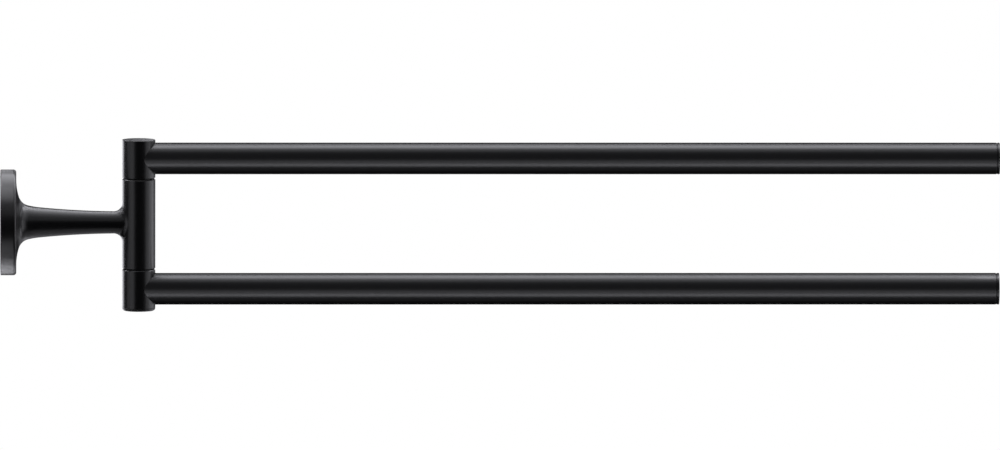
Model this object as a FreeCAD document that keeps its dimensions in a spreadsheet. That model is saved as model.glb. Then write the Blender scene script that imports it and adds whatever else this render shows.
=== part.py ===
import FreeCAD, Part
import math
import os
import re

import Sketcher

# Double towel bar: a wall bracket with a trumpet stem and a round post, and two bars that swing about the post.
# The origin is the centre of the wall plate's back, on the wall. +X runs out from the wall, +Z up.
# Sizes are in millimetres and degrees.
SIZES = {
    # Wall plate, with two slots for the wall screws and a groove round its rim for the rosette's screw
    "plate_thickness": 4.6,
    "plate_clearance": 0.3,
    "plate_depth_clearance": 0.2,
    "plate_edge_chamfer": 0.3,
    "rim_groove_depth": 1.4,
    "slot_width": 4.6,
    "slot_length": 8.0,
    "head_recess_width": 8.8,
    "head_recess_depth": 2.2,
    "slot_margin": 1.7,
    # Rosette
    "rosette_diameter": 45.8,
    "rosette_front_wall": 2.2,
    "rosette_rim_wall": 3.4,
    "rosette_edge_radius": 1.25,
    "rosette_back_radius": 0.6,
    "rosette_face_flat": 3.05,
    # Trumpet stem, which leaves the rosette's face flat and turns along the wall's normal in four arcs
    "flare_foot_angle": 17.0,
    "flare_throat_radius": 5.5,
    "flare_neck_radius": 34.0,
    "flare_neck_turn": 8.4,
    "stem_taper_angle": 5.6,
    "stem_waist_diameter": 9.6,
    "stem_core_diameter": 6.4,
    "stem_post_fillet": 3.6,
    # Post: the barrel of the casting and the two hubs. Its middle lies a little below the stem's axis,
    # and a rounded cap closes the lower hub.
    "post_offset": 60.0,
    "post_drop": 0.54,
    "post_side_margin": 0.35,
    "hub_foot_margin": 1.69,
    "hub_top_margin": 1.33,
    "hub_crown": 3.55,
    "hub_edge_radius": 0.3,
    "hub_cap_height": 1.25,
    "hub_cap_chamfer": 0.1,
    "seam_gap": 0.3,
    "seam_chamfer": 0.35,
    "barrel_lip": 1.2,
    # Pivot shaft
    "shaft_diameter": 6.0,
    "shaft_seat_clearance": 0.025,
    "shaft_end_clearance": 0.4,
    "shaft_end_chamfer": 0.5,
    "shaft_groove_depth": 0.8,
    "shaft_flat_depth": 0.5,
    "shaft_flat_length": 9.0,
    # Bushes and disc springs
    "bush_running_clearance": 0.05,
    "bush_wall": 0.95,
    "bush_seat_clearance": 0.01,
    "bush_end_clearance": 0.2,
    "bush_flange_thickness": 1.0,
    "bush_flange_clearance": 0.3,
    "spring_thickness": 0.35,
    "spring_cone": 0.35,
    "spring_bore_clearance": 0.15,
    "spring_top_clearance": 0.05,
    # Set screws
    "thread_clearance": 0.02,
    "screw_chamfer": 0.4,
    "screw_socket_share": 0.5,
    "grub_screw_diameter": 4.0,
    "grub_screw_offset": 0.2,
    "grub_screw_inset": 0.4,
    "grub_screw_tip_clearance": 0.1,
    "grub_screw_tip_flat": 0.3,
    "lock_screw_diameter": 5.0,
    "lock_screw_length": 8.0,
    "lock_thread_lead": 3.0,
    "hub_screw_diameter": 4.0,
    "hub_screw_length": 6.0,
    "hub_screw_shoulder_clearance": 0.3,
    "nose_diameter": 2.5,
    "nose_tip_clearance": 0.3,
    "nose_side_clearance": 0.2,
    # Bars, their spigots and their end caps
    "bar_diameter": 13.7,
    "bar_wall": 1.0,
    "bar_pitch": 56.75,
    "bar_reach": 433.0,
    "bar_edge_chamfer": 0.25,
    "bond_gap": 0.05,
    "tenon_diameter": 7.0,
    "tenon_end_clearance": 0.1,
    "spigot_length": 14.7,
    "spigot_chamfer": 0.8,
    "cap_rim_thickness": 0.8,
    "cap_edge_radius": 0.25,
    "cap_gap": 0.6,
    "cap_gap_depth": 0.15,
    "cap_plug_length": 9.0,
    "cap_plug_wall": 1.4,
    "cap_rib_height": 0.4,
    "cap_rib_pitch": 2.0,
    "cap_rib_clearance": 0.02,
}
CAP_RIBS = 3
HEX_SIDES = 6
HEX_TURN = 15

# Sizes that follow from the ones above, as formulas of them
shaft_radius = "(shaft_diameter / 2)"
bar_radius = "(bar_diameter / 2)"
bar_bore = f"({bar_radius} - bar_wall)"
bar_height = "(bar_pitch / 2)"
upper_bar_place = f"({bar_height} - post_drop)"
lower_bar_place = f"(-{bar_height} - post_drop)"

post_radius = f"({bar_radius} + post_side_margin)"
hub_foot = f"({bar_height} - {bar_radius} - hub_foot_margin)"
hub_top = f"({bar_height} + {bar_radius} + hub_top_margin)"
hub_bore_end = f"({hub_top} - hub_crown)"
barrel_end = f"({hub_foot} - seam_gap)"
counterbore_radius = f"({post_radius} - barrel_lip)"

bush_inner = f"({shaft_radius} + bush_running_clearance)"
bush_outer = f"({bush_inner} + bush_wall)"
hub_bore = f"({bush_outer} + bush_seat_clearance)"
flange_radius = f"({counterbore_radius} - bush_flange_clearance)"
flange_foot = f"({hub_foot} - bush_flange_thickness)"
spring_height = "(spring_cone + spring_thickness)"
counterbore_floor = f"({flange_foot} - spring_top_clearance - {spring_height})"

nose_radius = "(nose_diameter / 2)"
shaft_groove_radius = f"({shaft_radius} - shaft_groove_depth)"
shaft_groove_half = f"({nose_radius} + nose_side_clearance)"
shaft_end = f"({hub_bore_end} - shaft_end_clearance)"
shaft_flat = f"({shaft_radius} - shaft_flat_depth)"

rosette_radius = "(rosette_diameter / 2)"
rosette_front = "(plate_thickness + plate_depth_clearance + rosette_front_wall)"
recess_radius = f"({rosette_radius} - rosette_rim_wall)"
recess_depth = "(plate_thickness + plate_depth_clearance)"
plate_radius = f"({recess_radius} - plate_clearance)"
rim_groove_place = "(plate_thickness / 2)"
rim_groove_bottom = f"({plate_radius} - rim_groove_depth)"
slot_travel = "(slot_length - slot_width)"
slot_centre = f"({rim_groove_bottom} - slot_margin - {slot_travel} / 2 - head_recess_width / 2)"
grub_screw_place = f"({rim_groove_place} + grub_screw_offset)"

lock_screw_tail = f"({shaft_flat} + lock_screw_length)"
stem_core_end = f"(post_offset - {lock_screw_tail} - lock_thread_lead)"
stem_core_radius = "(stem_core_diameter / 2)"
lock_thread_radius = "(lock_screw_diameter / 2 + thread_clearance)"
hub_thread_radius = "(hub_screw_diameter / 2 + thread_clearance)"

spigot_shoulder = f"({post_radius} + bond_gap)"
spigot_end = f"({spigot_shoulder} + spigot_length)"
cap_end = "(bar_reach - post_offset)"
bar_end = f"({cap_end} - cap_rim_thickness - cap_gap)"

# The stem's silhouette turns a quarter circle in four tangent arcs: foot, throat, neck and taper.
# The taper's radius closes the chain between the rosette's face and the post.
neck_angle = "(90 - stem_taper_angle)"
throat_angle = f"({neck_angle} - flare_neck_turn)"
waist_radius = "(stem_waist_diameter / 2)"
stem_end = f"(post_offset - {post_radius})"
foot_radius = f"({rosette_radius} - rosette_edge_radius - rosette_face_flat)"
foot_slope = "tan(flare_foot_angle / 2)"
throat_length = f"(flare_throat_radius * (cos(flare_foot_angle) - cos({throat_angle})))"
throat_drop = f"(flare_throat_radius * (sin({throat_angle}) - sin(flare_foot_angle)))"
neck_length = f"(flare_neck_radius * (cos({throat_angle}) - cos({neck_angle})))"
neck_drop = f"(flare_neck_radius * (sin({neck_angle}) - sin({throat_angle})))"
taper_share = "(1 - cos(stem_taper_angle))"
chain_length = f"({stem_end} - {rosette_front} - {throat_length} - {neck_length})"
chain_drop = f"({foot_radius} - {waist_radius} - {throat_drop} - {neck_drop})"
taper_radius = (
    f"(({chain_length} - {chain_drop} * {foot_slope})"
    f" / (sin(stem_taper_angle) - {taper_share} * {foot_slope}))"
)
neck_end_radius = f"({waist_radius} + {taper_radius} * {taper_share})"
throat_end_radius = f"({neck_end_radius} + {neck_drop})"
foot_end_radius = f"({throat_end_radius} + {throat_drop})"
foot_end = f"({rosette_front} + ({foot_radius} - {foot_end_radius}) * {foot_slope})"
throat_end = f"({foot_end} + {throat_length})"
neck_end = f"({throat_end} + {neck_length})"
foot_arc_radius = f"(({foot_radius} - {foot_end_radius}) / sin(flare_foot_angle))"

# Sketch geometry: the two axes and their crossing, and the points of a line, arc or circle
UP_AXIS, ACROSS_AXIS = range(-2, 0)
START, END, CENTRE = range(1, 4)
ORIGIN_POINT = START
LEFT, RIGHT = (1, -1)

# Which way a piece's own Z axis points when it is in place
UPRIGHT = FreeCAD.Rotation()
UPSIDE_DOWN = FreeCAD.Rotation(FreeCAD.Vector(1, 0, 0), 180)
OUT_FROM_WALL = FreeCAD.Rotation(FreeCAD.Vector(0, 1, 0), 90)
TOWARDS_WALL = FreeCAD.Rotation(FreeCAD.Vector(0, 1, 0), -90)

doc = FreeCAD.newDocument("double_towel_bar")
sheet = doc.addObject("Spreadsheet::Sheet", "Sizes")
for row, (size_name, size_value) in enumerate(SIZES.items(), start=1):
    sheet.set(f"A{row}", size_name)
    sheet.set(f"B{row}", str(size_value))
    sheet.setAlias(f"B{row}", size_name)
doc.recompute()

sub_parts = []


def from_sheet(formula):
    """The formula with each size's name pointing to its cell."""
    return re.sub(r"[a-z_]+", lambda word: f"Sizes.{word[0]}" if word[0] in SIZES else word[0], formula)


def number(formula):
    """The formula's present value."""
    return float(sheet.evalExpression(from_sheet(formula)))


def bind(item, path, formula):
    item.setExpression(path, from_sheet(formula))


def new_body(label, rotation=UPRIGHT, x="0", z="0"):
    """An empty sub-part, turned and placed in the assembly."""
    body = doc.addObject("PartDesign::Body", label)
    body.Label = label
    body.Placement = FreeCAD.Placement(FreeCAD.Vector(), rotation)
    bind(body, "Placement.Base.x", x)
    bind(body, "Placement.Base.z", z)
    sub_parts.append(body)
    return body


def new_sketch(body, name, plane, across="0", up="0", outwards="0"):
    """A sketch on one of the body's own planes, moved along it and out of it."""
    sketch = body.newObject("Sketcher::SketchObject", f"{body.Label}_{name}")
    planes = [feature for feature in body.Origin.OriginFeatures if feature.Role == plane]
    sketch.AttachmentSupport = [(planes[0], "")]
    sketch.MapMode = "FlatFace"
    bind(sketch, "AttachmentOffset.Base.x", across)
    bind(sketch, "AttachmentOffset.Base.y", up)
    bind(sketch, "AttachmentOffset.Base.z", outwards)
    return sketch


def hold(sketch, formula, kind, *where):
    """A dimension whose value is the formula."""
    dimension = sketch.addConstraint(Sketcher.Constraint(kind, *where, number(formula)))
    bind(sketch, f"Constraints[{dimension}]", formula)


def place_point(sketch, item, point, across, up):
    for kind, formula, axis in (("DistanceX", across, UP_AXIS), ("DistanceY", up, ACROSS_AXIS)):
        if formula == "0":
            sketch.addConstraint(Sketcher.Constraint("PointOnObject", item, point, axis))
        else:
            hold(sketch, formula, kind, ACROSS_AXIS, ORIGIN_POINT, item, point)


def arc_between(start, end, radius, turn):
    """The short arc from start to end that turns left or right; a sketch keeps it running to the left."""
    chord = end - start
    to_centre = FreeCAD.Vector(-chord.y, chord.x, 0) * turn
    to_centre.Length = math.sqrt(radius ** 2 - (chord.Length / 2) ** 2)
    centre = (start + end) / 2 + to_centre
    first, last = (start, end) if turn == LEFT else (end, start)
    first_angle = math.atan2(first.y - centre.y, first.x - centre.x)
    last_angle = math.atan2(last.y - centre.y, last.x - centre.x)
    if last_angle < first_angle:
        last_angle += 2 * math.pi
    circle = Part.Circle(centre, FreeCAD.Vector(0, 0, 1), radius)
    return Part.ArcOfCircle(circle, first_angle, last_angle)


def draw_outline(sketch, corners):
    """A closed outline through corners (across, up); a corner's radius and turn bend the side that ends at it."""
    places = [FreeCAD.Vector(number(corner[0]), number(corner[1]), 0) for corner in corners]
    sides = []
    for index, corner in enumerate(corners):
        start = places[index - 1]
        end = places[index]
        if len(corner) == 2:
            side = sketch.addGeometry(Part.LineSegment(start, end))
            sides.append((side, START, END))
            continue
        radius, turn = corner[2:]
        side = sketch.addGeometry(arc_between(start, end, number(radius), turn))
        sides.append((side, START, END) if turn == LEFT else (side, END, START))
    for index, (side, first, _) in enumerate(sides):
        previous_side, _, previous_last = sides[index - 1]
        sketch.addConstraint(Sketcher.Constraint("Coincident", previous_side, previous_last, side, first))
    for corner, (side, _, last) in zip(corners, sides):
        place_point(sketch, side, last, corner[0], corner[1])
        if len(corner) > 2:
            hold(sketch, corner[2], "Radius", side)


def draw_circle(sketch, across, up, radius):
    centre = FreeCAD.Vector(number(across), number(up), 0)
    circle = sketch.addGeometry(Part.Circle(centre, FreeCAD.Vector(0, 0, 1), number(radius)))
    place_point(sketch, circle, CENTRE, across, up)
    hold(sketch, radius, "Radius", circle)


def draw_slot(sketch, centre, travel, width):
    """A round-ended slot along the sketch's across axis."""
    middle = number(centre)
    reach = number(travel) / 2
    radius = number(width) / 2
    upright = FreeCAD.Vector(0, 0, 1)
    quarter = math.pi / 2
    right_circle = Part.Circle(FreeCAD.Vector(middle + reach, 0, 0), upright, radius)
    left_circle = Part.Circle(FreeCAD.Vector(middle - reach, 0, 0), upright, radius)
    right = sketch.addGeometry(Part.ArcOfCircle(right_circle, -quarter, quarter))
    left = sketch.addGeometry(Part.ArcOfCircle(left_circle, quarter, 3 * quarter))
    corners = {(x, y): FreeCAD.Vector(middle + x * reach, y * radius, 0) for x in (-1, 1) for y in (-1, 1)}
    top = sketch.addGeometry(Part.LineSegment(corners[1, 1], corners[-1, 1]))
    bottom = sketch.addGeometry(Part.LineSegment(corners[-1, -1], corners[1, -1]))
    for side, following in ((bottom, right), (right, top), (top, left), (left, bottom)):
        sketch.addConstraint(Sketcher.Constraint("Tangent", side, END, following, START))
    sketch.addConstraint(Sketcher.Constraint("Equal", right, left))
    place_point(sketch, right, CENTRE, f"{centre} + {travel} / 2", "0")
    place_point(sketch, left, CENTRE, f"{centre} - {travel} / 2", "0")
    hold(sketch, f"{width} / 2", "Radius", right)


def finish_feature(body, feature, sketch, removes):
    """Works the feature out and makes sure that it added or removed material."""
    earlier = body.Shape.Volume if body.Shape and not body.Shape.isNull() else 0
    feature.Profile = sketch
    doc.recompute()
    gained = body.Shape.Volume - earlier
    if (gained < 0) != removes or gained == 0:
        raise RuntimeError(f"{feature.Label} changed the volume by {gained:.3f}")


def revolve(body, sketch, axis, removes=False):
    kind = "Groove" if removes else "Revolution"
    feature = body.newObject(f"PartDesign::{kind}", f"{sketch.Label}_{kind.lower()}")
    feature.ReferenceAxis = (sketch, [axis])
    feature.Angle = 360
    finish_feature(body, feature, sketch, removes)


def cut_through(body, sketch, side_type="One side", forwards=False):
    """A cut right through on one side of the sketch, against its normal unless forwards, or on both sides."""
    feature = body.newObject("PartDesign::Pocket", f"{sketch.Label}_cut")
    feature.Type = "ThroughAll"
    feature.SideType = side_type
    feature.Reversed = forwards
    finish_feature(body, feature, sketch, removes=True)


def cut_to_depth(body, sketch, depth):
    feature = body.newObject("PartDesign::Pocket", f"{sketch.Label}_cut")
    feature.Type = "Length"
    bind(feature, "Length", depth)
    finish_feature(body, feature, sketch, removes=True)


def make_wall_plate():
    body = new_body("wall_plate")
    disc = new_sketch(body, "disc", "XZ_Plane")
    draw_outline(disc, [
        ("0", "0"),
        ("0", f"{plate_radius} - plate_edge_chamfer"),
        ("plate_edge_chamfer", plate_radius),
        (f"{rim_groove_place} - rim_groove_depth", plate_radius),
        (rim_groove_place, rim_groove_bottom),
        (f"{rim_groove_place} + rim_groove_depth", plate_radius),
        ("plate_thickness - plate_edge_chamfer", plate_radius),
        ("plate_thickness", f"{plate_radius} - plate_edge_chamfer"),
        ("plate_thickness", "0"),
    ])
    revolve(body, disc, "H_Axis")
    slots = new_sketch(body, "screw_slots", "YZ_Plane")
    recesses = new_sketch(body, "head_recesses", "YZ_Plane", outwards="plate_thickness")
    for centre in (slot_centre, f"-{slot_centre}"):
        draw_slot(slots, centre, slot_travel, "slot_width")
        draw_slot(recesses, centre, slot_travel, "head_recess_width")
    cut_through(body, slots, forwards=True)
    cut_to_depth(body, recesses, "head_recess_depth")


def make_bracket_casting():
    body = new_body("bracket_casting")
    stem = new_sketch(body, "rosette_and_stem", "XZ_Plane")
    draw_outline(stem, [
        ("0", "0"),
        ("0", f"{rosette_radius} - rosette_back_radius"),
        ("rosette_back_radius", rosette_radius, "rosette_back_radius", RIGHT),
        (f"{rosette_front} - rosette_edge_radius", rosette_radius),
        (rosette_front, f"{rosette_radius} - rosette_edge_radius", "rosette_edge_radius", RIGHT),
        (rosette_front, foot_radius),
        (foot_end, foot_end_radius, foot_arc_radius, LEFT),
        (throat_end, throat_end_radius, "flare_throat_radius", LEFT),
        (neck_end, neck_end_radius, "flare_neck_radius", LEFT),
        (stem_end, waist_radius, taper_radius, LEFT),
        ("post_offset", waist_radius),
        ("post_offset", "0"),
    ])
    revolve(body, stem, "H_Axis")

    barrel = new_sketch(body, "barrel", "XZ_Plane", across="post_offset", up="-post_drop")
    draw_outline(barrel, [
        ("0", f"-{barrel_end}"),
        (f"{post_radius} - seam_chamfer", f"-{barrel_end}"),
        (post_radius, f"seam_chamfer - {barrel_end}"),
        (post_radius, f"{barrel_end} - seam_chamfer"),
        (f"{post_radius} - seam_chamfer", barrel_end),
        ("0", barrel_end),
    ])
    revolve(body, barrel, "V_Axis")

    fillet = body.newObject("PartDesign::Fillet", "stem_to_post_fillet")
    fillet.Base = (fillet.BaseFeature, stem_to_post_edges(fillet.BaseFeature.Shape))
    bind(fillet, "Radius", "stem_post_fillet")
    doc.recompute()

    core = new_sketch(body, "recess_and_core", "XZ_Plane")
    draw_outline(core, [
        ("0", "0"),
        ("0", recess_radius),
        (recess_depth, recess_radius),
        (recess_depth, stem_core_radius),
        (stem_core_end, stem_core_radius),
        (f"{stem_core_end} + {stem_core_radius} - {lock_thread_radius}", lock_thread_radius),
        ("post_offset", lock_thread_radius),
        ("post_offset", "0"),
    ])
    revolve(body, core, "H_Axis", removes=True)

    bore_radius = f"({shaft_radius} + shaft_seat_clearance)"
    bore = new_sketch(body, "shaft_bore", "XZ_Plane", across="post_offset", up="-post_drop")
    draw_outline(bore, [
        ("0", f"-{barrel_end}"),
        (counterbore_radius, f"-{barrel_end}"),
        (counterbore_radius, f"-{counterbore_floor}"),
        (bore_radius, f"-{counterbore_floor}"),
        (bore_radius, counterbore_floor),
        (counterbore_radius, counterbore_floor),
        (counterbore_radius, barrel_end),
        ("0", barrel_end),
    ])
    revolve(body, bore, "V_Axis", removes=True)

    thread = new_sketch(body, "grub_screw_hole", "XY_Plane")
    draw_circle(thread, grub_screw_place, "0", "grub_screw_diameter / 2 + thread_clearance")
    cut_through(body, thread)


def stem_to_post_edges(shape):
    """The edges where the stem runs into the barrel: on the barrel's round side, on the wall's side of the post."""
    axis_place = number("post_offset")
    radius = number(post_radius)
    reach = number(waist_radius)
    near = 0.01

    def on_joint(point):
        from_axis = math.hypot(point.x - axis_place, point.y)
        return abs(from_axis - radius) < near and point.x < axis_place and abs(point.z) < reach + near

    return [
        f"Edge{index}"
        for index, edge in enumerate(shape.Edges, start=1)
        if all(on_joint(point) for point in edge.discretize(7))
    ]


def make_set_screw(label, rotation, x, z, radius, tip_outline, head):
    """A headless screw about its own Z axis, from its tip up to the end with the hexagon socket."""
    body = new_body(label, rotation, x, z)
    shank = new_sketch(body, "shank", "XZ_Plane")
    draw_outline(shank, [
        *tip_outline,
        (radius, f"{head} - screw_chamfer"),
        (f"{radius} - screw_chamfer", head),
        ("0", head),
    ])
    revolve(body, shank, "V_Axis")
    socket_across = f"({radius} * 2 * screw_socket_share)"
    corner_radius = f"({socket_across} / sqrt(3))"
    angles = [HEX_TURN + 360 / HEX_SIDES * side for side in range(HEX_SIDES)]
    socket = new_sketch(body, "hexagon_socket", "XY_Plane", outwards=head)
    draw_outline(socket, [(f"{corner_radius} * cos({a})", f"{corner_radius} * sin({a})") for a in angles])
    cut_to_depth(body, socket, socket_across)


def make_rosette_grub_screw():
    radius = "(grub_screw_diameter / 2)"
    tip = f"({rim_groove_bottom} + grub_screw_tip_flat + grub_screw_offset + grub_screw_tip_clearance)"
    cone_tip = [
        ("0", tip),
        ("grub_screw_tip_flat", tip),
        (radius, f"{tip} + {radius} - grub_screw_tip_flat"),
    ]
    head = f"({rosette_radius} - grub_screw_inset)"
    make_set_screw("rosette_grub_screw", UPSIDE_DOWN, grub_screw_place, "0", radius, cone_tip, head)


def make_shaft_lock_screw():
    radius = "(lock_screw_diameter / 2)"
    flat_tip = [
        ("0", shaft_flat),
        (f"{radius} - screw_chamfer", shaft_flat),
        (radius, f"{shaft_flat} + screw_chamfer"),
    ]
    make_set_screw("shaft_lock_screw", TOWARDS_WALL, "post_offset", "0", radius, flat_tip, lock_screw_tail)


def make_pivot_shaft():
    body = new_body("pivot_shaft", x="post_offset", z="-post_drop")
    turned = new_sketch(body, "turned", "XZ_Plane")
    upper_half = [
        (shaft_radius, f"{bar_height} - {shaft_groove_half}"),
        (shaft_groove_radius, f"{bar_height} - {shaft_groove_half}"),
        (shaft_groove_radius, f"{bar_height} + {shaft_groove_half}"),
        (shaft_radius, f"{bar_height} + {shaft_groove_half}"),
        (shaft_radius, f"{shaft_end} - shaft_end_chamfer"),
        (f"{shaft_radius} - shaft_end_chamfer", shaft_end),
        ("0", shaft_end),
    ]
    lower_half = [(across, f"-({up})") for across, up in reversed(upper_half)]
    draw_outline(turned, lower_half + upper_half)
    revolve(body, turned, "V_Axis")
    flat = new_sketch(body, "lock_flat", "XZ_Plane", up="post_drop")
    draw_outline(flat, [
        ("-shaft_diameter", "-shaft_flat_length / 2"),
        (f"-{shaft_flat}", "-shaft_flat_length / 2"),
        (f"-{shaft_flat}", "shaft_flat_length / 2"),
        ("-shaft_diameter", "shaft_flat_length / 2"),
    ])
    cut_through(body, flat, "Symmetric")


def make_disc_spring(side, rotation):
    body = new_body(f"{side}_disc_spring", rotation, "post_offset", "-post_drop")
    cone = new_sketch(body, "cone", "XZ_Plane")
    inner = f"({shaft_radius} + spring_bore_clearance)"
    draw_outline(cone, [
        (inner, f"{counterbore_floor} + spring_cone"),
        (flange_radius, counterbore_floor),
        (flange_radius, f"{counterbore_floor} + spring_thickness"),
        (inner, f"{counterbore_floor} + {spring_height}"),
    ])
    revolve(body, cone, "V_Axis")


def make_hub(side, rotation, end_outline):
    body = new_body(f"{side}_hub", rotation, "post_offset", "-post_drop")
    turned = new_sketch(body, "turned", "XZ_Plane")
    draw_outline(turned, [
        (hub_bore, hub_foot),
        (f"{post_radius} - seam_chamfer", hub_foot),
        (post_radius, f"{hub_foot} + seam_chamfer"),
        *end_outline,
    ])
    revolve(body, turned, "V_Axis")
    tenon_hole = new_sketch(body, "tenon_hole", "YZ_Plane")
    draw_circle(tenon_hole, "0", bar_height, "tenon_diameter / 2")
    cut_through(body, tenon_hole, forwards=True)


def make_lower_hub_cap():
    body = new_body("lower_hub_cap", UPSIDE_DOWN, "post_offset", "-post_drop")
    plug_radius = f"({hub_bore} - bond_gap)"
    edge_radius = "(hub_cap_height - hub_cap_chamfer)"
    cap_top = f"({hub_top} + hub_cap_height)"
    turned = new_sketch(body, "turned", "XZ_Plane")
    draw_outline(turned, [
        ("0", hub_bore_end),
        (plug_radius, hub_bore_end),
        (plug_radius, hub_top),
        (f"{post_radius} - hub_cap_chamfer", hub_top),
        (post_radius, f"{hub_top} + hub_cap_chamfer"),
        (f"{post_radius} - {edge_radius}", cap_top, edge_radius, LEFT),
        ("0", cap_top),
    ])
    revolve(body, turned, "V_Axis")


def make_bush(side, rotation):
    body = new_body(f"{side}_bush", rotation, "post_offset", "-post_drop")
    sleeve_end = f"({hub_bore_end} - bush_end_clearance)"
    turned = new_sketch(body, "turned", "XZ_Plane")
    draw_outline(turned, [
        (bush_inner, flange_foot),
        (flange_radius, flange_foot),
        (flange_radius, hub_foot),
        (bush_outer, hub_foot),
        (bush_outer, sleeve_end),
        (bush_inner, sleeve_end),
    ])
    revolve(body, turned, "V_Axis")
    nose_hole = new_sketch(body, "nose_hole", "YZ_Plane")
    draw_circle(nose_hole, "0", bar_height, f"{nose_radius} + nose_side_clearance")
    cut_through(body, nose_hole, forwards=True)


def make_hub_screw(side, height):
    radius = "(hub_screw_diameter / 2)"
    tip = f"({shaft_groove_radius} + nose_tip_clearance)"
    shoulder = f"({bush_outer} + hub_screw_shoulder_clearance)"
    nose = [
        ("0", tip),
        (nose_radius, tip),
        (nose_radius, shoulder),
        (radius, shoulder),
    ]
    head = f"({tip} + hub_screw_length)"
    make_set_screw(f"{side}_hub_screw", OUT_FROM_WALL, "post_offset", height, radius, nose, head)


def make_spigot(side, height):
    body = new_body(f"{side}_spigot", OUT_FROM_WALL, "post_offset", height)
    tenon_end = f"({bush_outer} + tenon_end_clearance)"
    tenon_radius = "(tenon_diameter / 2 - bond_gap)"
    plug_radius = f"({bar_bore} - bond_gap)"
    turned = new_sketch(body, "turned", "XZ_Plane")
    draw_outline(turned, [
        (hub_thread_radius, tenon_end),
        (tenon_radius, tenon_end),
        (tenon_radius, spigot_shoulder),
        (plug_radius, spigot_shoulder),
        (plug_radius, f"{spigot_end} - spigot_chamfer"),
        (f"{plug_radius} - spigot_chamfer", spigot_end),
        (hub_thread_radius, spigot_end),
    ])
    revolve(body, turned, "V_Axis")


def make_bar(side, height):
    body = new_body(f"{side}_bar", OUT_FROM_WALL, "post_offset", height)
    tube = new_sketch(body, "tube", "XZ_Plane")
    draw_outline(tube, [
        (bar_bore, "0"),
        (bar_radius, "0"),
        (bar_radius, f"{bar_end} - bar_edge_chamfer"),
        (f"{bar_radius} - bar_edge_chamfer", bar_end),
        (bar_bore, bar_end),
    ])
    revolve(body, tube, "V_Axis")
    cope = new_sketch(body, "cope", "YZ_Plane")
    draw_circle(cope, "0", "0", spigot_shoulder)
    cut_through(body, cope, "Symmetric")


def make_end_cap(side, height):
    body = new_body(f"{side}_end_cap", OUT_FROM_WALL, "post_offset", height)
    rib_radius = f"({bar_bore} - cap_rib_clearance)"
    plug_radius = f"({rib_radius} - cap_rib_height)"
    cup_radius = f"({plug_radius} - cap_plug_wall)"
    plug_end = f"({bar_end} - cap_plug_length)"
    neck_radius = f"({bar_radius} - cap_gap_depth)"
    rim_back = f"({bar_end} + cap_gap)"
    ribs = []
    for rib in range(CAP_RIBS):
        rib_start = f"({plug_end} + cap_rib_pitch * {rib + 0.5})"
        ribs += [
            (plug_radius, rib_start),
            (rib_radius, f"{rib_start} + cap_rib_height"),
            (rib_radius, f"{rib_start} + cap_rib_height * 2"),
            (plug_radius, f"{rib_start} + cap_rib_height * 2"),
        ]
    turned = new_sketch(body, "turned", "XZ_Plane")
    draw_outline(turned, [
        ("0", bar_end),
        (cup_radius, bar_end),
        (cup_radius, plug_end),
        (plug_radius, plug_end),
        *ribs,
        (plug_radius, bar_end),
        (neck_radius, bar_end),
        (neck_radius, rim_back),
        (bar_radius, rim_back),
        (bar_radius, f"{cap_end} - cap_edge_radius"),
        (f"{bar_radius} - cap_edge_radius", cap_end, "cap_edge_radius", LEFT),
        ("0", cap_end),
    ])
    revolve(body, turned, "V_Axis")


make_wall_plate()
make_bracket_casting()
make_rosette_grub_screw()
make_pivot_shaft()
make_shaft_lock_screw()
closed_end = [
    (post_radius, f"{hub_top} - hub_edge_radius"),
    (f"{post_radius} - hub_edge_radius", hub_top, "hub_edge_radius", LEFT),
    ("0", hub_top),
    ("0", hub_bore_end),
    (hub_bore, hub_bore_end),
]
open_end = [
    (post_radius, f"{hub_top} - hub_cap_chamfer"),
    (f"{post_radius} - hub_cap_chamfer", hub_top),
    (hub_bore, hub_top),
]
for arm_side, arm_rotation, bar_place, hub_end in (
    ("upper", UPRIGHT, upper_bar_place, closed_end),
    ("lower", UPSIDE_DOWN, lower_bar_place, open_end),
):
    make_disc_spring(arm_side, arm_rotation)
    make_hub(arm_side, arm_rotation, hub_end)
    make_bush(arm_side, arm_rotation)
    make_hub_screw(arm_side, bar_place)
    make_spigot(arm_side, bar_place)
    make_bar(arm_side, bar_place)
    make_end_cap(arm_side, bar_place)
make_lower_hub_cap()
doc.recompute()

for item in doc.Objects:
    if "Invalid" in item.State or "Error" in item.State:
        raise RuntimeError(f"{item.Label} failed: {item.State}")
for sub_part in sub_parts:
    if sub_part.Shape.isNull() or not sub_part.Shape.isValid() or len(sub_part.Shape.Solids) != 1:
        raise RuntimeError(f"{sub_part.Label} isn't one valid solid")

os.makedirs("parts", exist_ok=True)
for sub_part in sub_parts:
    sub_part.Shape.exportStep(f"parts/{sub_part.Label}.step")
    print(f"{sub_part.Label}: {sub_part.Shape.Volume:.1f} mm3")
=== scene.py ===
import math

import bpy
from mathutils import Matrix, Vector


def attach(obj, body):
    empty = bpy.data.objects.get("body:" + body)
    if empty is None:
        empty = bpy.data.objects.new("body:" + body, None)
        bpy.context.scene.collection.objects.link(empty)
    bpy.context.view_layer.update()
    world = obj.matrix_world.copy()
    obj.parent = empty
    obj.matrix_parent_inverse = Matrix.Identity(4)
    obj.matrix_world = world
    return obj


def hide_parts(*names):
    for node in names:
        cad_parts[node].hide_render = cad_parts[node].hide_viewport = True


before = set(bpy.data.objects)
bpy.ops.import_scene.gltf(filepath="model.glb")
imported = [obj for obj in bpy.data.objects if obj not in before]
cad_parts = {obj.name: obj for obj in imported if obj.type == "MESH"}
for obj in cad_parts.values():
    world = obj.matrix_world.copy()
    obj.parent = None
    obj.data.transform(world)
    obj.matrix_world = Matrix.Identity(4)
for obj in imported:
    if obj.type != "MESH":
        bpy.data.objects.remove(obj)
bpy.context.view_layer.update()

# Wall plate: a turned steel disc with two slots, bright zinc plated.
# Two screws hold it to the wall, and the rosette slips over it and hides it.
MM = 0.001
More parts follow.
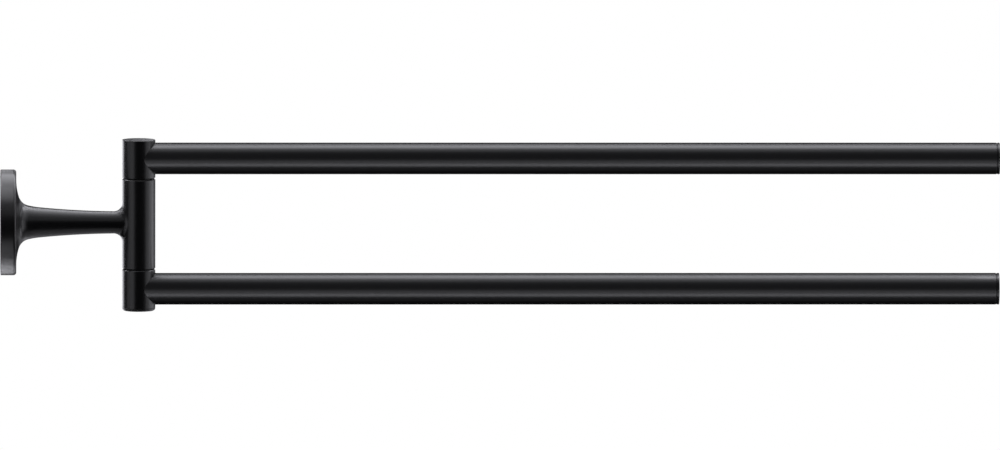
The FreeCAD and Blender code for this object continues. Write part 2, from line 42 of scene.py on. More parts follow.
ZINC_BRIGHT = (0.66, 0.67, 0.68, 1)
ZINC_DULL = (0.52, 0.54, 0.57, 1)
ZINC_CLOUD = 4.0 * MM
ZINC_ROUGHNESS = (0.26, 0.44)
PLATE_TURNING_PITCH = 0.22 * MM
PLATE_TURNING_DEPTH = 0.006 * MM
WAVE_RADIANS_PER_UNIT = 20


def start_finish(name):
    finish = bpy.data.materials.new(name)
    finish.use_nodes = True
    tree = finish.node_tree
    place = tree.nodes.new("ShaderNodeTexCoord").outputs["Object"]
    return finish, tree, tree.nodes["Principled BSDF"], place


def add_cloud(tree, place, size, detail=3.0):
    cloud = tree.nodes.new("ShaderNodeTexNoise")
    cloud.inputs["Scale"].default_value = 1 / size
    cloud.inputs["Detail"].default_value = detail
    tree.links.new(place, cloud.inputs["Vector"])
    return cloud.outputs["Fac"]


def add_tool_marks(tree, place, kind, axis, pitch, waver=0.6):
    marks = tree.nodes.new("ShaderNodeTexWave")
    marks.wave_type = kind
    marks.rings_direction = axis
    marks.bands_direction = axis
    marks.inputs["Scale"].default_value = 2 * math.pi / (WAVE_RADIANS_PER_UNIT * pitch)
    marks.inputs["Distortion"].default_value = waver
    tree.links.new(place, marks.inputs["Vector"])
    return marks.outputs["Fac"]


def colour_between(tree, shader, factor, first, last):
    mix = tree.nodes.new("ShaderNodeMix")
    mix.data_type = "RGBA"
    tree.links.new(factor, mix.inputs["Factor"])
    mix.inputs["A"].default_value = first
    mix.inputs["B"].default_value = last
    tree.links.new(mix.outputs["Result"], shader.inputs["Base Color"])


def roughness_between(tree, shader, factor, smoothest, roughest):
    spread = tree.nodes.new("ShaderNodeMapRange")
    tree.links.new(factor, spread.inputs["Value"])
    spread.inputs["To Min"].default_value = smoothest
    spread.inputs["To Max"].default_value = roughest
    tree.links.new(spread.outputs["Result"], shader.inputs["Roughness"])


def raise_surface(tree, shader, height, depth):
    bump = tree.nodes.new("ShaderNodeBump")
    bump.inputs["Distance"].default_value = depth
    tree.links.new(height, bump.inputs["Height"])
    tree.links.new(bump.outputs["Normal"], shader.inputs["Normal"])


def finish_nodes(finish, *node_names):
    for node_name in node_names:
        for node_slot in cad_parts[node_name].material_slots:
            node_slot.material = finish


def make_zinc_plate():
    finish, tree, shader, place = start_finish("bright_zinc_plate")
    shader.inputs["Metallic"].default_value = 1.0
    cloud = add_cloud(tree, place, ZINC_CLOUD)
    colour_between(tree, shader, cloud, ZINC_BRIGHT, ZINC_DULL)
    roughness_between(tree, shader, cloud, *ZINC_ROUGHNESS)
    turning = add_tool_marks(tree, place, "RINGS", "X", PLATE_TURNING_PITCH)
    raise_surface(tree, shader, turning, PLATE_TURNING_DEPTH)
    return finish


finish_nodes(make_zinc_plate(), "wall_plate")

# Bracket: rosette, trumpet stem and post barrel in one zinc casting, ground smooth.
# It is powder coated satin black, and so are the hubs, the lower hub's cap, the bars and the end caps.
COAT_BLACK = (0.0030, 0.0030, 0.0033, 1)
COAT_BLACK_LIGHTER = (0.0050, 0.0050, 0.0054, 1)
COAT_PIGMENT_CLOUD = 2.5 * MM
COAT_ROUGHNESS = (0.28, 0.32)
COAT_FLOW_CLOUD = 1.2 * MM
COAT_PEEL_SIZE = 0.45 * MM
COAT_PEEL_DEPTH = 0.004 * MM


def make_powder_coat():
    finish, tree, shader, place = start_finish("satin_black_powder_coat")
    pigment = add_cloud(tree, place, COAT_PIGMENT_CLOUD)
    colour_between(tree, shader, pigment, COAT_BLACK, COAT_BLACK_LIGHTER)
    flow = add_cloud(tree, place, COAT_FLOW_CLOUD)
    roughness_between(tree, shader, flow, *COAT_ROUGHNESS)
    peel = add_cloud(tree, place, COAT_PEEL_SIZE, detail=1.0)
    raise_surface(tree, shader, peel, COAT_PEEL_DEPTH)
    return finish


powder_coat = make_powder_coat()
finish_nodes(powder_coat, "bracket_casting")

# Set screws: four headless screws of black oxide steel with a rolled thread and a hexagon socket.
# One pulls the rosette on to the wall plate, one pins the shaft, and one in each arm keeps the hub on it.
# Their sizes are in millimetres, measured along the screw from the axis that its tip points to.
SMALL_SCREW_RADIUS = 2.0
SMALL_SCREW_PITCH = 0.7
LARGE_SCREW_RADIUS = 2.5
LARGE_SCREW_PITCH = 0.8
SCREW_CHAMFER = 0.4
THREAD_DEPTH_SHARE = 0.61
THREAD_CREST_SHARE = 0.15
THREAD_SPARE_TURNS = 2
SOCKET_SIDES = 6
SOCKET_TURN = math.radians(15)
GRUB_SCREW_TIP = 18.4
GRUB_SCREW_TIP_FLAT = 0.3
GRUB_SCREW_HEAD = 22.5
GRUB_SCREW_PLACE = 2.5
LOCK_SCREW_TIP = 2.5
LOCK_SCREW_HEAD = 10.5
HUB_SCREW_TIP = 2.5
HUB_SCREW_NOSE_RADIUS = 1.25
HUB_SCREW_NOSE_END = 4.3
HUB_SCREW_HEAD = 8.5
POST_PLACE = 60.0
UPPER_BAR_PLACE = 27.835
LOWER_BAR_PLACE = -28.915
UPSIDE_DOWN = (math.pi, 0, 0)
OUT_FROM_WALL = (0, math.pi / 2, 0)
TOWARDS_WALL = (0, -math.pi / 2, 0)
ROUND_STEPS = 48
MERGE_GAP = 0.0001
CUT_TOLERANCE = 0.00001
SMOOTH_ANGLE = math.radians(30)
OXIDE_BLACK = (0.045, 0.045, 0.048, 1)
OXIDE_BROWN = (0.085, 0.078, 0.07, 1)
OXIDE_CLOUD = 0.9 * MM
OXIDE_ROUGHNESS = (0.32, 0.48)
OXIDE_GRAIN = 0.12 * MM
OXIDE_GRAIN_DEPTH = 0.004 * MM


def select_only(piece):
    bpy.ops.object.select_all(action="DESELECT")
    piece.select_set(True)
    bpy.context.view_layer.objects.active = piece


def draw_line(corners):
    """A line of edges through (across, up) corners in the XZ plane, left selected in edit mode."""
    bpy.ops.object.select_all(action="DESELECT")
    bpy.ops.mesh.primitive_plane_add(size=1)
    bpy.ops.object.mode_set(mode="EDIT")
    bpy.ops.mesh.select_all(action="SELECT")
    bpy.ops.mesh.merge(type="CENTER")
    last_across, last_up = corners[0]
    bpy.ops.transform.translate(value=(last_across, 0, last_up))
    for across, up in corners[1:]:
        step = (across - last_across, 0, up - last_up)
        bpy.ops.mesh.extrude_region_move(TRANSFORM_OT_translate={"value": step})
        last_across, last_up = across, up
    bpy.ops.mesh.select_all(action="SELECT")


def close_seams():
    """Merges the seams of the mesh in edit mode, turns its faces outwards and leaves edit mode."""
    bpy.ops.mesh.select_all(action="SELECT")
    bpy.ops.mesh.remove_doubles(threshold=MERGE_GAP)
    bpy.ops.mesh.normals_make_consistent(inside=False)
    bpy.ops.object.mode_set(mode="OBJECT")


def turn_blank(outline):
    """A solid of revolution about Z from an outline that begins and ends on the axis."""
    draw_line(outline)
    bpy.ops.mesh.spin(steps=ROUND_STEPS, angle=2 * math.pi, center=(0, 0, 0), axis=(0, 0, 1))
    close_seams()
    return bpy.context.object


def roll_thread(radius, pitch, start, end):
    """A threaded rod about Z, cut square at both ends."""
    root = radius - THREAD_DEPTH_SHARE * pitch
    crest = THREAD_CREST_SHARE * pitch
    draw_line([
        (root, start - pitch),
        (radius, start - (pitch + crest) / 2),
        (radius, start - (pitch - crest) / 2),
        (root, start),
    ])
    bpy.ops.object.mode_set(mode="OBJECT")
    rod = bpy.context.object
    helix = rod.modifiers.new("helix", "SCREW")
    helix.axis = "Z"
    helix.screw_offset = pitch
    helix.iterations = math.ceil((end - start) / pitch) + THREAD_SPARE_TURNS
    helix.steps = ROUND_STEPS
    helix.render_steps = ROUND_STEPS
    helix.use_merge_vertices = True
    helix.merge_threshold = MERGE_GAP
    bpy.ops.object.modifier_apply(modifier=helix.name)
    bpy.ops.object.mode_set(mode="EDIT")
    for height, outwards in ((start, -1), (end, 1)):
        bpy.ops.mesh.select_all(action="SELECT")
        bpy.ops.mesh.bisect(
            plane_co=(0, 0, height),
            plane_no=(0, 0, outwards),
            use_fill=True,
            clear_outer=True,
            threshold=CUT_TOLERANCE,
        )
    close_seams()
    return rod


def work_solid(piece, tool, operation):
    """Cuts the piece by the tool's solid, or down to it, then takes the tool away."""
    select_only(piece)
    cut = piece.modifiers.new("cut", "BOOLEAN")
    cut.operation = operation
    cut.solver = "EXACT"
    cut.object = tool
    bpy.ops.object.modifier_apply(modifier=cut.name)
    bpy.data.objects.remove(tool)


def put_in_place(piece, name, turn, place):
    """Shrinks a piece drawn in millimetres to metres, and turns and moves its mesh to its place."""
    select_only(piece)
    piece.name = name
    piece.rotation_euler = turn
    piece.location = [length * MM for length in place]
    piece.scale = (MM, MM, MM)
    bpy.ops.object.transform_apply(location=True, rotation=True, scale=True)
    bpy.ops.object.shade_smooth_by_angle(angle=SMOOTH_ANGLE)


def make_set_screw(radius, pitch, tip_outline, head):
    head_outline = [(radius, head - SCREW_CHAMFER), (radius - SCREW_CHAMFER, head), (0, head)]
    screw = turn_blank(tip_outline + head_outline)
    tip = tip_outline[0][1]
    work_solid(screw, roll_thread(radius, pitch, tip - pitch, head + pitch), "INTERSECT")
    # The key is half as wide as the screw, and the socket is as deep as the key is wide
    key_width = radius
    bpy.ops.object.select_all(action="DESELECT")
    bpy.ops.mesh.primitive_cylinder_add(
        vertices=SOCKET_SIDES,
        radius=key_width / math.sqrt(3),
        depth=2 * key_width,
        location=(0, 0, head),
        rotation=(0, 0, SOCKET_TURN),
    )
    work_solid(screw, bpy.context.object, "DIFFERENCE")
    return screw


def copy_of(piece):
    select_only(piece)
    bpy.ops.object.duplicate()
    return bpy.context.object


def make_black_oxide():
    finish, tree, shader, place = start_finish("black_oxide_steel")
    shader.inputs["Metallic"].default_value = 1.0
    stain = add_cloud(tree, place, OXIDE_CLOUD)
    colour_between(tree, shader, stain, OXIDE_BLACK, OXIDE_BROWN)
    roughness_between(tree, shader, stain, *OXIDE_ROUGHNESS)
    raise_surface(tree, shader, add_cloud(tree, place, OXIDE_GRAIN, detail=1.0), OXIDE_GRAIN_DEPTH)
    return finish


black_oxide = make_black_oxide()
cone_tip = [
    (0, GRUB_SCREW_TIP),
    (GRUB_SCREW_TIP_FLAT, GRUB_SCREW_TIP),
    (SMALL_SCREW_RADIUS, GRUB_SCREW_TIP + SMALL_SCREW_RADIUS - GRUB_SCREW_TIP_FLAT),
]
flat_tip = [
    (0, LOCK_SCREW_TIP),
    (LARGE_SCREW_RADIUS - SCREW_CHAMFER, LOCK_SCREW_TIP),
    (LARGE_SCREW_RADIUS, LOCK_SCREW_TIP + SCREW_CHAMFER),
]
nose_tip = [
    (0, HUB_SCREW_TIP),
    (HUB_SCREW_NOSE_RADIUS, HUB_SCREW_TIP),
    (HUB_SCREW_NOSE_RADIUS, HUB_SCREW_NOSE_END),
    (SMALL_SCREW_RADIUS, HUB_SCREW_NOSE_END),
]
grub_screw = make_set_screw(SMALL_SCREW_RADIUS, SMALL_SCREW_PITCH, cone_tip, GRUB_SCREW_HEAD)
lock_screw = make_set_screw(LARGE_SCREW_RADIUS, LARGE_SCREW_PITCH, flat_tip, LOCK_SCREW_HEAD)
upper_hub_screw = make_set_screw(SMALL_SCREW_RADIUS, SMALL_SCREW_PITCH, nose_tip, HUB_SCREW_HEAD)
lower_hub_screw = copy_of(upper_hub_screw)
for screw, node, body, turn, place in (
    (grub_screw, "rosette_grub_screw", "bracket", UPSIDE_DOWN, (GRUB_SCREW_PLACE, 0, 0)),
    (lock_screw, "shaft_lock_screw", "bracket", TOWARDS_WALL, (POST_PLACE, 0, 0)),
    (upper_hub_screw, "upper_hub_screw", "upper_arm", OUT_FROM_WALL, (POST_PLACE, 0, UPPER_BAR_PLACE)),
    (lower_hub_screw, "lower_hub_screw", "lower_arm", OUT_FROM_WALL, (POST_PLACE, 0, LOWER_BAR_PLACE)),
):
    put_in_place(screw, f"threaded_{node}", turn, place)
    screw.data.materials.clear()
    screw.data.materials.append(black_oxide)
    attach(screw, body)
    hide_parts(node)

# Pivot shaft: a ground steel pin through the barrel, grooved near both ends for the hub screws.
# The grinding wheel leaves fine rings round it.
STEEL_BRIGHT = (0.62, 0.62, 0.62, 1)
STEEL_DULL = (0.50, 0.50, 0.51, 1)
STEEL_CLOUD = 2.2 * MM
STEEL_ROUGHNESS = (0.16, 0.27)
GRINDING_PITCH = 0.10 * MM
GRINDING_DEPTH = 0.002 * MM


def make_ground_steel():
    finish, tree, shader, place = start_finish("ground_steel")
    shader.inputs["Metallic"].default_value = 1.0
    cloud = add_cloud(tree, place, STEEL_CLOUD)
    colour_between(tree, shader, cloud, STEEL_BRIGHT, STEEL_DULL)
    roughness_between(tree, shader, cloud, *STEEL_ROUGHNESS)
    grinding = add_tool_marks(tree, place, "BANDS", "Z", GRINDING_PITCH)
    raise_surface(tree, shader, grinding, GRINDING_DEPTH)
    return finish


finish_nodes(make_ground_steel(), "pivot_shaft")

# Disc springs: conical washers of spring steel, blanked, oil tempered and tumbled.
# One sits in each end of the barrel and presses on the bush's flange.
TEMPER_GREY = (0.30, 0.30, 0.31, 1)
TEMPER_STRAW = (0.38, 0.33, 0.26, 1)
TEMPER_CLOUD = 1.8 * MM
TEMPER_ROUGHNESS = (0.28, 0.42)
TUMBLE_SIZE = 0.18 * MM
TUMBLE_DEPTH = 0.004 * MM


def make_spring_steel():
    finish, tree, shader, place = start_finish("tempered_spring_steel")
    shader.inputs["Metallic"].default_value = 1.0
    temper = add_cloud(tree, place, TEMPER_CLOUD)
    colour_between(tree, shader, temper, TEMPER_GREY, TEMPER_STRAW)
    roughness_between(tree, shader, temper, *TEMPER_ROUGHNESS)
    raise_surface(tree, shader, add_cloud(tree, place, TUMBLE_SIZE, detail=2.0), TUMBLE_DEPTH)
    return finish


finish_nodes(make_spring_steel(), "upper_disc_spring", "lower_disc_spring")

# Hubs: turned ends of the post that swing about the shaft, coated like the bracket.
# A rounded cap, glued in, closes the lower one from below.
finish_nodes(powder_coat, "upper_hub", "lower_hub", "lower_hub_cap")

# Bushes: flanged sleeves of black acetal, moulded, pressed into the hubs.
# They run on the shaft, and their flanges keep the seams open.
ACETAL_BLACK = (0.022, 0.022, 0.023, 1)
ACETAL_LIGHTER = (0.036, 0.036, 0.037, 1)
ACETAL_FLOW = 1.6 * MM
ACETAL_ROUGHNESS = (0.38, 0.52)
MOULD_GRAIN = 0.15 * MM
MOULD_GRAIN_DEPTH = 0.003 * MM


def make_acetal():
    finish, tree, shader, place = start_finish("moulded_acetal")
    flow = add_cloud(tree, place, ACETAL_FLOW)
    colour_between(tree, shader, flow, ACETAL_BLACK, ACETAL_LIGHTER)
    roughness_between(tree, shader, flow, *ACETAL_ROUGHNESS)
    raise_surface(tree, shader, add_cloud(tree, place, MOULD_GRAIN, detail=1.0), MOULD_GRAIN_DEPTH)
    return finish


finish_nodes(make_acetal(), "upper_bush", "lower_bush")

# Spigots: brass plugs turned from bar, glued into the hub and into the tube.
# Each is threaded through for its arm's hub screw.
BRASS_BRIGHT = (0.78, 0.58, 0.28, 1)
BRASS_DULL = (0.60, 0.43, 0.20, 1)
BRASS_CLOUD = 2.4 * MM
BRASS_ROUGHNESS = (0.20, 0.36)
BRASS_FEED = 0.16 * MM
BRASS_FEED_DEPTH = 0.006 * MM


def make_brass():
    finish, tree, shader, place = start_finish("turned_brass")
    shader.inputs["Metallic"].default_value = 1.0
    tarnish = add_cloud(tree, place, BRASS_CLOUD)
    colour_between(tree, shader, tarnish, BRASS_BRIGHT, BRASS_DULL)
    roughness_between(tree, shader, tarnish, *BRASS_ROUGHNESS)
    turning = add_tool_marks(tree, place, "BANDS", "X", BRASS_FEED)
    raise_surface(tree, shader, turning, BRASS_FEED_DEPTH)
    return finish


finish_nodes(make_brass(), "upper_spigot", "lower_spigot")

# Bars: lengths of thin steel tube, coated like the bracket.
# The hub end is coped to the hub's round side and glued over the spigot, and the far edge is broken.
# Their sizes are in millimetres, measured along the bar from the post's axis.
BAR_RADIUS = 6.85
BAR_WALL = 1.0
BAR_END = 371.6
BAR_SIDES = 128
BAR_EDGE = 0.25
BAR_EDGE_STEPS = 3
COPE_RADIUS = 7.25
COPE_ZONE = 10.0
COPE_CUTTER_LENGTH = 29.0


def make_bar():
    bpy.ops.object.select_all(action="DESELECT")
    bpy.ops.mesh.primitive_cylinder_add(
        vertices=BAR_SIDES,
        radius=BAR_RADIUS,
        depth=BAR_END,
        end_fill_type="NOTHING",
        location=(0, 0, BAR_END / 2),
    )
    bar = bpy.context.object
    bpy.ops.object.transform_apply(location=True)
    tube = bar.modifiers.new("tube", "SOLIDIFY")
    tube.thickness = BAR_WALL
    tube.offset = -1
    bpy.ops.object.modifier_apply(modifier=tube.name)
    bpy.ops.object.mode_set(mode="EDIT")
    bpy.ops.mesh.select_all(action="SELECT")
    bpy.ops.mesh.bisect(plane_co=(0, 0, COPE_ZONE), plane_no=(0, 0, 1))
    bpy.ops.mesh.select_all(action="DESELECT")
    bpy.ops.object.mode_set(mode="OBJECT")
    for edge in bar.data.edges:
        ends = [bar.data.vertices[corner].co for corner in edge.vertices]
        edge.select = all(
            end.z > BAR_END - BAR_EDGE and end.xy.length > BAR_RADIUS - BAR_EDGE for end in ends
        )
    bpy.ops.object.mode_set(mode="EDIT")
    bpy.ops.mesh.select_mode(type="EDGE")
    bpy.ops.mesh.bevel(offset=BAR_EDGE, segments=BAR_EDGE_STEPS, affect="EDGES")
    bpy.ops.mesh.select_mode(type="VERT")
    bpy.ops.object.mode_set(mode="OBJECT")
    bpy.ops.object.select_all(action="DESELECT")
    bpy.ops.mesh.primitive_cylinder_add(
        vertices=BAR_SIDES,
        radius=COPE_RADIUS,
        depth=COPE_CUTTER_LENGTH,
        rotation=(0, math.pi / 2, 0),
    )
    work_solid(bar, bpy.context.object, "DIFFERENCE")
    return bar


upper_bar = make_bar()
lower_bar = copy_of(upper_bar)
for bar, side, height in ((upper_bar, "upper", UPPER_BAR_PLACE), (lower_bar, "lower", LOWER_BAR_PLACE)):
    put_in_place(bar, f"{side}_tube", OUT_FROM_WALL, (POST_PLACE, 0, height))
    bar.data.materials.clear()
    bar.data.materials.append(powder_coat)
    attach(bar, f"{side}_arm")
    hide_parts(f"{side}_bar")

# End caps: thin turned caps with a ribbed plug, pressed into the tubes and coated like them.
# A fine groove runs round behind the rim, where the coat's gloss is lowered as painted shade.
CAP_GROOVE_MIDDLE = 431.9 * MM
CAP_GROOVE_HALF_WIDTH = 0.3 * MM
COAT_GLOSS = 0.5
# Gloss in the groove, lowered as painted shade
CAP_GROOVE_PAINTED_SHADE_GLOSS = 0.2


def make_cap_coat_with_painted_groove_shade():
    finish = powder_coat.copy()
    finish.name = "satin_black_cap_coat_with_painted_groove_shade"
    tree = finish.node_tree
    along = tree.nodes.new("ShaderNodeSeparateXYZ")
    tree.links.new(tree.nodes["Texture Coordinate"].outputs["Object"], along.inputs["Vector"])
    groove = tree.nodes.new("ShaderNodeMath")
    groove.operation = "COMPARE"
    tree.links.new(along.outputs["X"], groove.inputs[0])
    groove.inputs[1].default_value = CAP_GROOVE_MIDDLE
    groove.inputs[2].default_value = CAP_GROOVE_HALF_WIDTH
    # Painted shade: the gloss drops in the groove, so it reads as a dark shadow line
    groove_painted_shade_gloss = tree.nodes.new("ShaderNodeMapRange")
    tree.links.new(groove.outputs["Value"], groove_painted_shade_gloss.inputs["Value"])
    groove_painted_shade_gloss.inputs["To Min"].default_value = COAT_GLOSS
    groove_painted_shade_gloss.inputs["To Max"].default_value = CAP_GROOVE_PAINTED_SHADE_GLOSS
    tree.links.new(groove_painted_shade_gloss.outputs["Result"], tree.nodes["Principled BSDF"].inputs["Specular IOR Level"])
    return finish


finish_nodes(make_cap_coat_with_painted_groove_shade(), "upper_end_cap", "lower_end_cap")

# Floor: a plain pale sheet far below, because the object hangs on a wall.
# It is painted on its upper side only, so that the object can be seen from below.
STAGE_MIDDLE = 0.2
FLOOR_HEIGHT = -1.6
FLOOR_SIZE = 3.0
FLOOR_PALE = (0.86, 0.86, 0.86, 1)


def make_floor_paint():
    finish, tree, shader, _ = start_finish("pale_floor")
    shader.inputs["Base Color"].default_value = FLOOR_PALE
    side_seen = tree.nodes.new("ShaderNodeNewGeometry").outputs["Backfacing"]
    underside = tree.nodes.new("ShaderNodeBsdfTransparent").outputs["BSDF"]
    paint = tree.nodes.new("ShaderNodeMixShader")
    tree.links.new(side_seen, paint.inputs["Fac"])
    tree.links.new(shader.outputs["BSDF"], paint.inputs[1])
    tree.links.new(underside, paint.inputs[2])
    tree.links.new(paint.outputs["Shader"], tree.nodes["Material Output"].inputs["Surface"])
    return finish


bpy.ops.object.select_all(action="DESELECT")
bpy.ops.mesh.primitive_plane_add(size=FLOOR_SIZE, location=(STAGE_MIDDLE, 0, FLOOR_HEIGHT))
floor = bpy.context.object
floor.name = "floor"
floor.data.materials.append(make_floor_paint())

# Black tent: a closed tube of black cloth round the object, which the camera looks through.
# It keeps the white room out of the satin coat's reflections, so that the edges stay dark.
TENT_RADIUS = 1.3
TENT_LENGTH = 4.0
TENT_SIDES = 48
TENT_BLACK = (0.004, 0.004, 0.004, 1)
TENT_ROUGHNESS = 1.0
TENT_GLOSS = 0.0


def make_tent_cloth():
    finish, _, shader, _ = start_finish("black_cloth")
    shader.inputs["Base Color"].default_value = TENT_BLACK
    shader.inputs["Roughness"].default_value = TENT_ROUGHNESS
    shader.inputs["Specular IOR Level"].default_value = TENT_GLOSS
    return finish


bpy.ops.object.select_all(action="DESELECT")
bpy.ops.mesh.primitive_cylinder_add(
    vertices=TENT_SIDES,
    radius=TENT_RADIUS,
    depth=TENT_LENGTH,
    location=(STAGE_MIDDLE, 0, 0),
    rotation=OUT_FROM_WALL,
)
tent = bpy.context.object
tent.name = "black_tent"
tent.data.materials.append(make_tent_cloth())
tent.visible_camera = False

# Soft boxes for the bars: long ones beside them, inside the tent, and one off each end, all cool white.
# Each box lights its own group of pieces, and only the bracket's pieces throw shadows.
# A long box lies between two angles up from the front, and its glow is how bright it is.
BOX_COOL_WHITE = (0.98, 0.98, 1.04)
WIDE_BEAM = 180
NARROW_BEAM = 60
BARS_MIDDLE = Vector((STAGE_MIDDLE, 0, 0))
BAR_BOX_DISTANCE = 1.0
BAR_BOX_LENGTH = 3.2


def group_pieces(name, pieces):
    group = bpy.data.collections.new(name)
    for piece in pieces:
        group.objects.link(piece)
    return group


cad_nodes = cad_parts
end_caps = [cad_nodes["upper_end_cap"], cad_nodes["lower_end_cap"]]
set_screws = [grub_screw, lock_screw, upper_hub_screw, lower_hub_screw]
lit_apart = [*end_caps, cad_nodes["wall_plate"]]
lit_with_bracket = [piece for piece in (*set_screws, *cad_nodes.values()) if piece not in lit_apart]
bar_pieces = group_pieces("lit_bars", [upper_bar, lower_bar, *end_caps])
bracket_pieces = group_pieces("lit_bracket", lit_with_bracket)


def add_soft_box(name, place, aim, width, height, glow, lit_pieces, beam=WIDE_BEAM):
    box = bpy.data.lights.new(name, "AREA")
    box.shape = "RECTANGLE"
    box.size = width
    box.size_y = height
    # With a wide beam, a soft box's brightness is a quarter of its power over its area
    box.energy = 4 * glow * width * height
    box.spread = math.radians(beam)
    box.color = BOX_COOL_WHITE
    lamp = bpy.data.objects.new(name, box)
    bpy.context.scene.collection.objects.link(lamp)
    lamp.location = place
    lamp.rotation_euler = (aim - place).to_track_quat("-Z", "Y").to_euler()
    lamp.visible_camera = False
    lamp.light_linking.receiver_collection = lit_pieces
    lamp.light_linking.blocker_collection = bracket_pieces


def breadth(first, last, distance):
    """The size of a box that fills the angle between two directions, at a distance."""
    return 2 * distance * math.tan(math.radians(last - first) / 2)


def add_long_box(name, aim, distance, length, first, last, glow, lit_pieces, beam=WIDE_BEAM):
    """A box along the bars, between two angles up from the front."""
    middle = math.radians(first + last) / 2
    place = aim + distance * Vector((0, -math.cos(middle), math.sin(middle)))
    add_soft_box(name, place, aim, length, breadth(first, last, distance), glow, lit_pieces, beam)


def add_side_box(name, aim, distance, first, last, lowest, highest, glow, lit_pieces):
    """A box between two angles to the right of the front and two angles above the level."""
    aside = math.radians(first + last) / 2
    rise = math.radians(lowest + highest) / 2
    place = aim + distance * Vector((
        math.sin(aside) * math.cos(rise),
        -math.cos(aside) * math.cos(rise),
        math.sin(rise),
    ))
    width = breadth(first, last, distance) * math.cos(rise)
    add_soft_box(name, place, aim, width, breadth(lowest, highest, distance), glow, lit_pieces)


for name, first, last, glow in (
    ("bars_back_box", 122, 134, 1.5),
    ("bars_top_box", 84, 116, 3.63),
    ("bars_top_front_box", 58, 84, 0.62),
    ("bars_front_box", -8, 58, 0.08),
    ("bars_low_front_box", -38, -8, 0.64),
    ("bars_low_box", -52, -36, 2.0),
    ("bars_under_box", -95, -52, 0.07),
):
    add_long_box(name, BARS_MIDDLE, BAR_BOX_DISTANCE, BAR_BOX_LENGTH, first, last, glow, bar_pieces)
for name, *angles, glow in (
    ("bars_right_box", 70, 140, -45, -8, 0.55),
    ("bars_left_box", -160, -100, -45, -8, 0.6),
):
    add_side_box(name, BARS_MIDDLE, BAR_BOX_DISTANCE, *angles, glow, bar_pieces)

# Strip light for the lower bar: a thin strip with a narrow beam, close above the bar.
# It makes up for the light from the top box that the upper bar keeps off the lower one.
STRIP_MIDDLE = 253
STRIP_AIM_FORWARD = 4.2
STRIP_AIM_ABOVE_AXIS = 5.4
STRIP_AIM = Vector((STRIP_MIDDLE, -STRIP_AIM_FORWARD, LOWER_BAR_PLACE + STRIP_AIM_ABOVE_AXIS)) * MM
STRIP_DISTANCE = 30 * MM
STRIP_LENGTH = 368 * MM
STRIP_FIRST_ANGLE = 87
STRIP_LAST_ANGLE = 103
STRIP_GLOW = 0.4

add_long_box(
    "lower_bar_strip",
    STRIP_AIM,
    STRIP_DISTANCE,
    STRIP_LENGTH,
    STRIP_FIRST_ANGLE,
    STRIP_LAST_ANGLE,
    STRIP_GLOW,
    group_pieces("lit_lower_bar", [lower_bar, cad_nodes["lower_end_cap"]]),
    NARROW_BEAM,
)

# Soft boxes for the bracket: long ones over and under the stem, and side boxes all round the post.
# A side box lies between two angles to the right of the front and two above the level.
BRACKET_MIDDLE = Vector((0.03, 0, 0))
BRACKET_LONG_BOX_MIDDLE = Vector((0.15, 0, 0))
BRACKET_BOX_DISTANCE = 0.8
BRACKET_LONG_BOX_LENGTH = 1.5

for name, first, last, glow in (
    ("bracket_top_back_box", 100, 138, 3.0),
    ("bracket_top_box", 78, 100, 1.55),
    ("bracket_top_front_box", 55, 78, 0.62),
    ("bracket_front_box", 20, 55, 0.29),
    ("bracket_low_back_box", -150, -60, 0.3),
):
    add_long_box(
        name,
        BRACKET_LONG_BOX_MIDDLE,
        BRACKET_BOX_DISTANCE,
        BRACKET_LONG_BOX_LENGTH,
        first,
        last,
        glow,
        bracket_pieces,
    )
for name, *angles, glow in (
    ("left_front_box", -58, -30, -30, 10, 0.69),
    ("left_side_box", -88, -58, -30, 10, 0.53),
    ("left_back_box", -170, -128, -30, 10, 2.25),
    ("left_high_box", -128, -95, 10, 50, 2.45),
    ("left_high_front_box", -95, -75, 20, 50, 1.9),
    ("right_front_box", 50, 78, -30, 45, 0.66),
    ("right_box", 78, 122, -30, 10, 1.48),
    ("right_high_box", 78, 122, 10, 45, 1.35),
    ("right_edge_box", 122, 150, -30, 10, 0.26),
    ("right_back_high_box", 130, 165, 8, 36, 0.4),
    ("right_back_top_box", 130, 165, 36, 62, 0.48),
    ("right_back_low_box", 135, 168, -36, -12, 0.15),
    ("right_back_foot_box", 135, 168, -62, -36, 0.7),
    ("hub_back_box", 170, 177.5, 3, 11, 1.3),
):
    add_side_box(name, BRACKET_MIDDLE, BRACKET_BOX_DISTANCE, *angles, glow, bracket_pieces)

# Soft boxes for the wall plate: two softer ones on the side of the wall.
# Zinc is so much brighter than the coat that the bracket's boxes would bleach it.
plate_pieces = group_pieces("lit_plate", [cad_nodes["wall_plate"]])
for name, *angles, glow in (
    ("plate_left_box", -150, -90, -45, 45, 0.75),
    ("plate_front_box", -90, -30, -45, 45, 0.6),
):
    add_side_box(name, BRACKET_MIDDLE, BRACKET_BOX_DISTANCE, *angles, glow, plate_pieces)

# Soft boxes for the rosette: small ones with narrow beams behind it, round the line of the stem.
# They shade its rim from light at the top, through dark, to light again at the foot.
ROSETTE_BOX_AIM = Vector((-0.067, 0, 0))
ROSETTE_BOX_DISTANCE = 0.12
ROSETTE_BOX_LENGTH = 0.15

for name, first, last, glow in (
    ("rosette_top_back_box", 136, 160, 0.12),
    ("rosette_top_box", 50, 95, 0.26),
    ("rosette_low_front_box", -75, -28, 0.125),
    ("rosette_low_box", -98, -75, 0.23),
    ("rosette_under_box", -116, -93, 0.33),
    ("rosette_low_back_box", -134, -111, 0.18),
):
    add_long_box(
        name,
        ROSETTE_BOX_AIM,
        ROSETTE_BOX_DISTANCE,
        ROSETTE_BOX_LENGTH,
        first,
        last,
        glow,
        bracket_pieces,
        NARROW_BEAM,
    )

# White room: the plain white walls outside the tent, which the camera sees behind the object.
# A weaker fill from them lights the floor.
ROOM_WHITE = (1, 1, 1, 1)
ROOM_FILL = 0.8


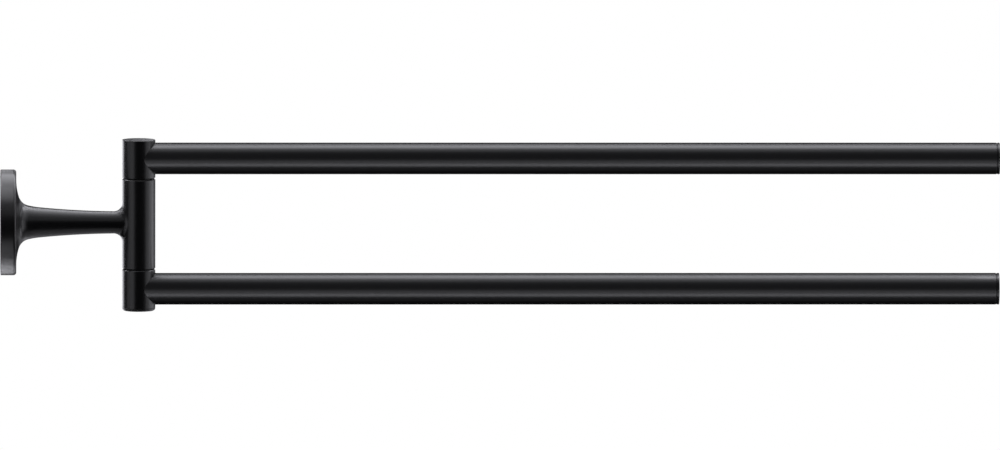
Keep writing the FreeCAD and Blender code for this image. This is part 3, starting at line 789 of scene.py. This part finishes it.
def make_white_room():
    room = bpy.data.worlds.new("white_room")
    room.use_nodes = True
    tree = room.node_tree
    white = tree.nodes["Background"]
    white.inputs["Color"].default_value = ROOM_WHITE
    fill = tree.nodes.new("ShaderNodeBackground")
    fill.inputs["Color"].default_value = ROOM_WHITE
    fill.inputs["Strength"].default_value = ROOM_FILL
    path = tree.nodes.new("ShaderNodeLightPath")
    seen = path.outputs["Is Camera Ray"]
    for ray in ("Is Glossy Ray", "Is Transmission Ray"):
        either = tree.nodes.new("ShaderNodeMath")
        either.operation = "MAXIMUM"
        tree.links.new(seen, either.inputs[0])
        tree.links.new(path.outputs[ray], either.inputs[1])
        seen = either.outputs[0]
    choose = tree.nodes.new("ShaderNodeMixShader")
    tree.links.new(seen, choose.inputs["Fac"])
    tree.links.new(fill.outputs["Background"], choose.inputs[1])
    tree.links.new(white.outputs["Background"], choose.inputs[2])
    tree.links.new(choose.outputs["Shader"], tree.nodes["World Output"].inputs["Surface"])
    return room


bpy.context.scene.world = make_white_room()
bpy.context.scene.view_settings.view_transform = "Standard"

# Camera: a long lens far in front of the rosette, a little above the bars.
# Its picture is level with the bars and just as wide as the object's reach.
CAMERA_DISTANCE = 9.0
CAMERA_HEIGHT_ANGLE = 5.85
CAMERA_ASIDE = 3.5 * MM
VIEW_CENTRE = Vector((0.2165, 0, -0.00115))
VIEW_WIDTH = 0.43322
SENSOR_WIDTH = 36.0

rise = math.radians(CAMERA_HEIGHT_ANGLE)
stand = Vector((0, -CAMERA_DISTANCE * math.cos(rise), CAMERA_DISTANCE * math.sin(rise)))
camera_place = Vector((CAMERA_ASIDE, 0, VIEW_CENTRE.z)) + stand
view_line = (VIEW_CENTRE - camera_place).normalized()
bar_line = Vector((1, 0, 0))
level = (bar_line - bar_line.project(view_line)).normalized()
upward = level.cross(view_line)

lens = bpy.data.cameras.new("long_lens")
lens.sensor_width = SENSOR_WIDTH
lens.lens = SENSOR_WIDTH * (VIEW_CENTRE - camera_place).length / VIEW_WIDTH
camera = bpy.data.objects.new("camera", lens)
bpy.context.scene.collection.objects.link(camera)
camera_turn = Matrix((level, upward, -view_line)).transposed()
camera.matrix_world = Matrix.LocRotScale(camera_place, camera_turn.to_quaternion(), None)
bpy.context.scene.camera = camera
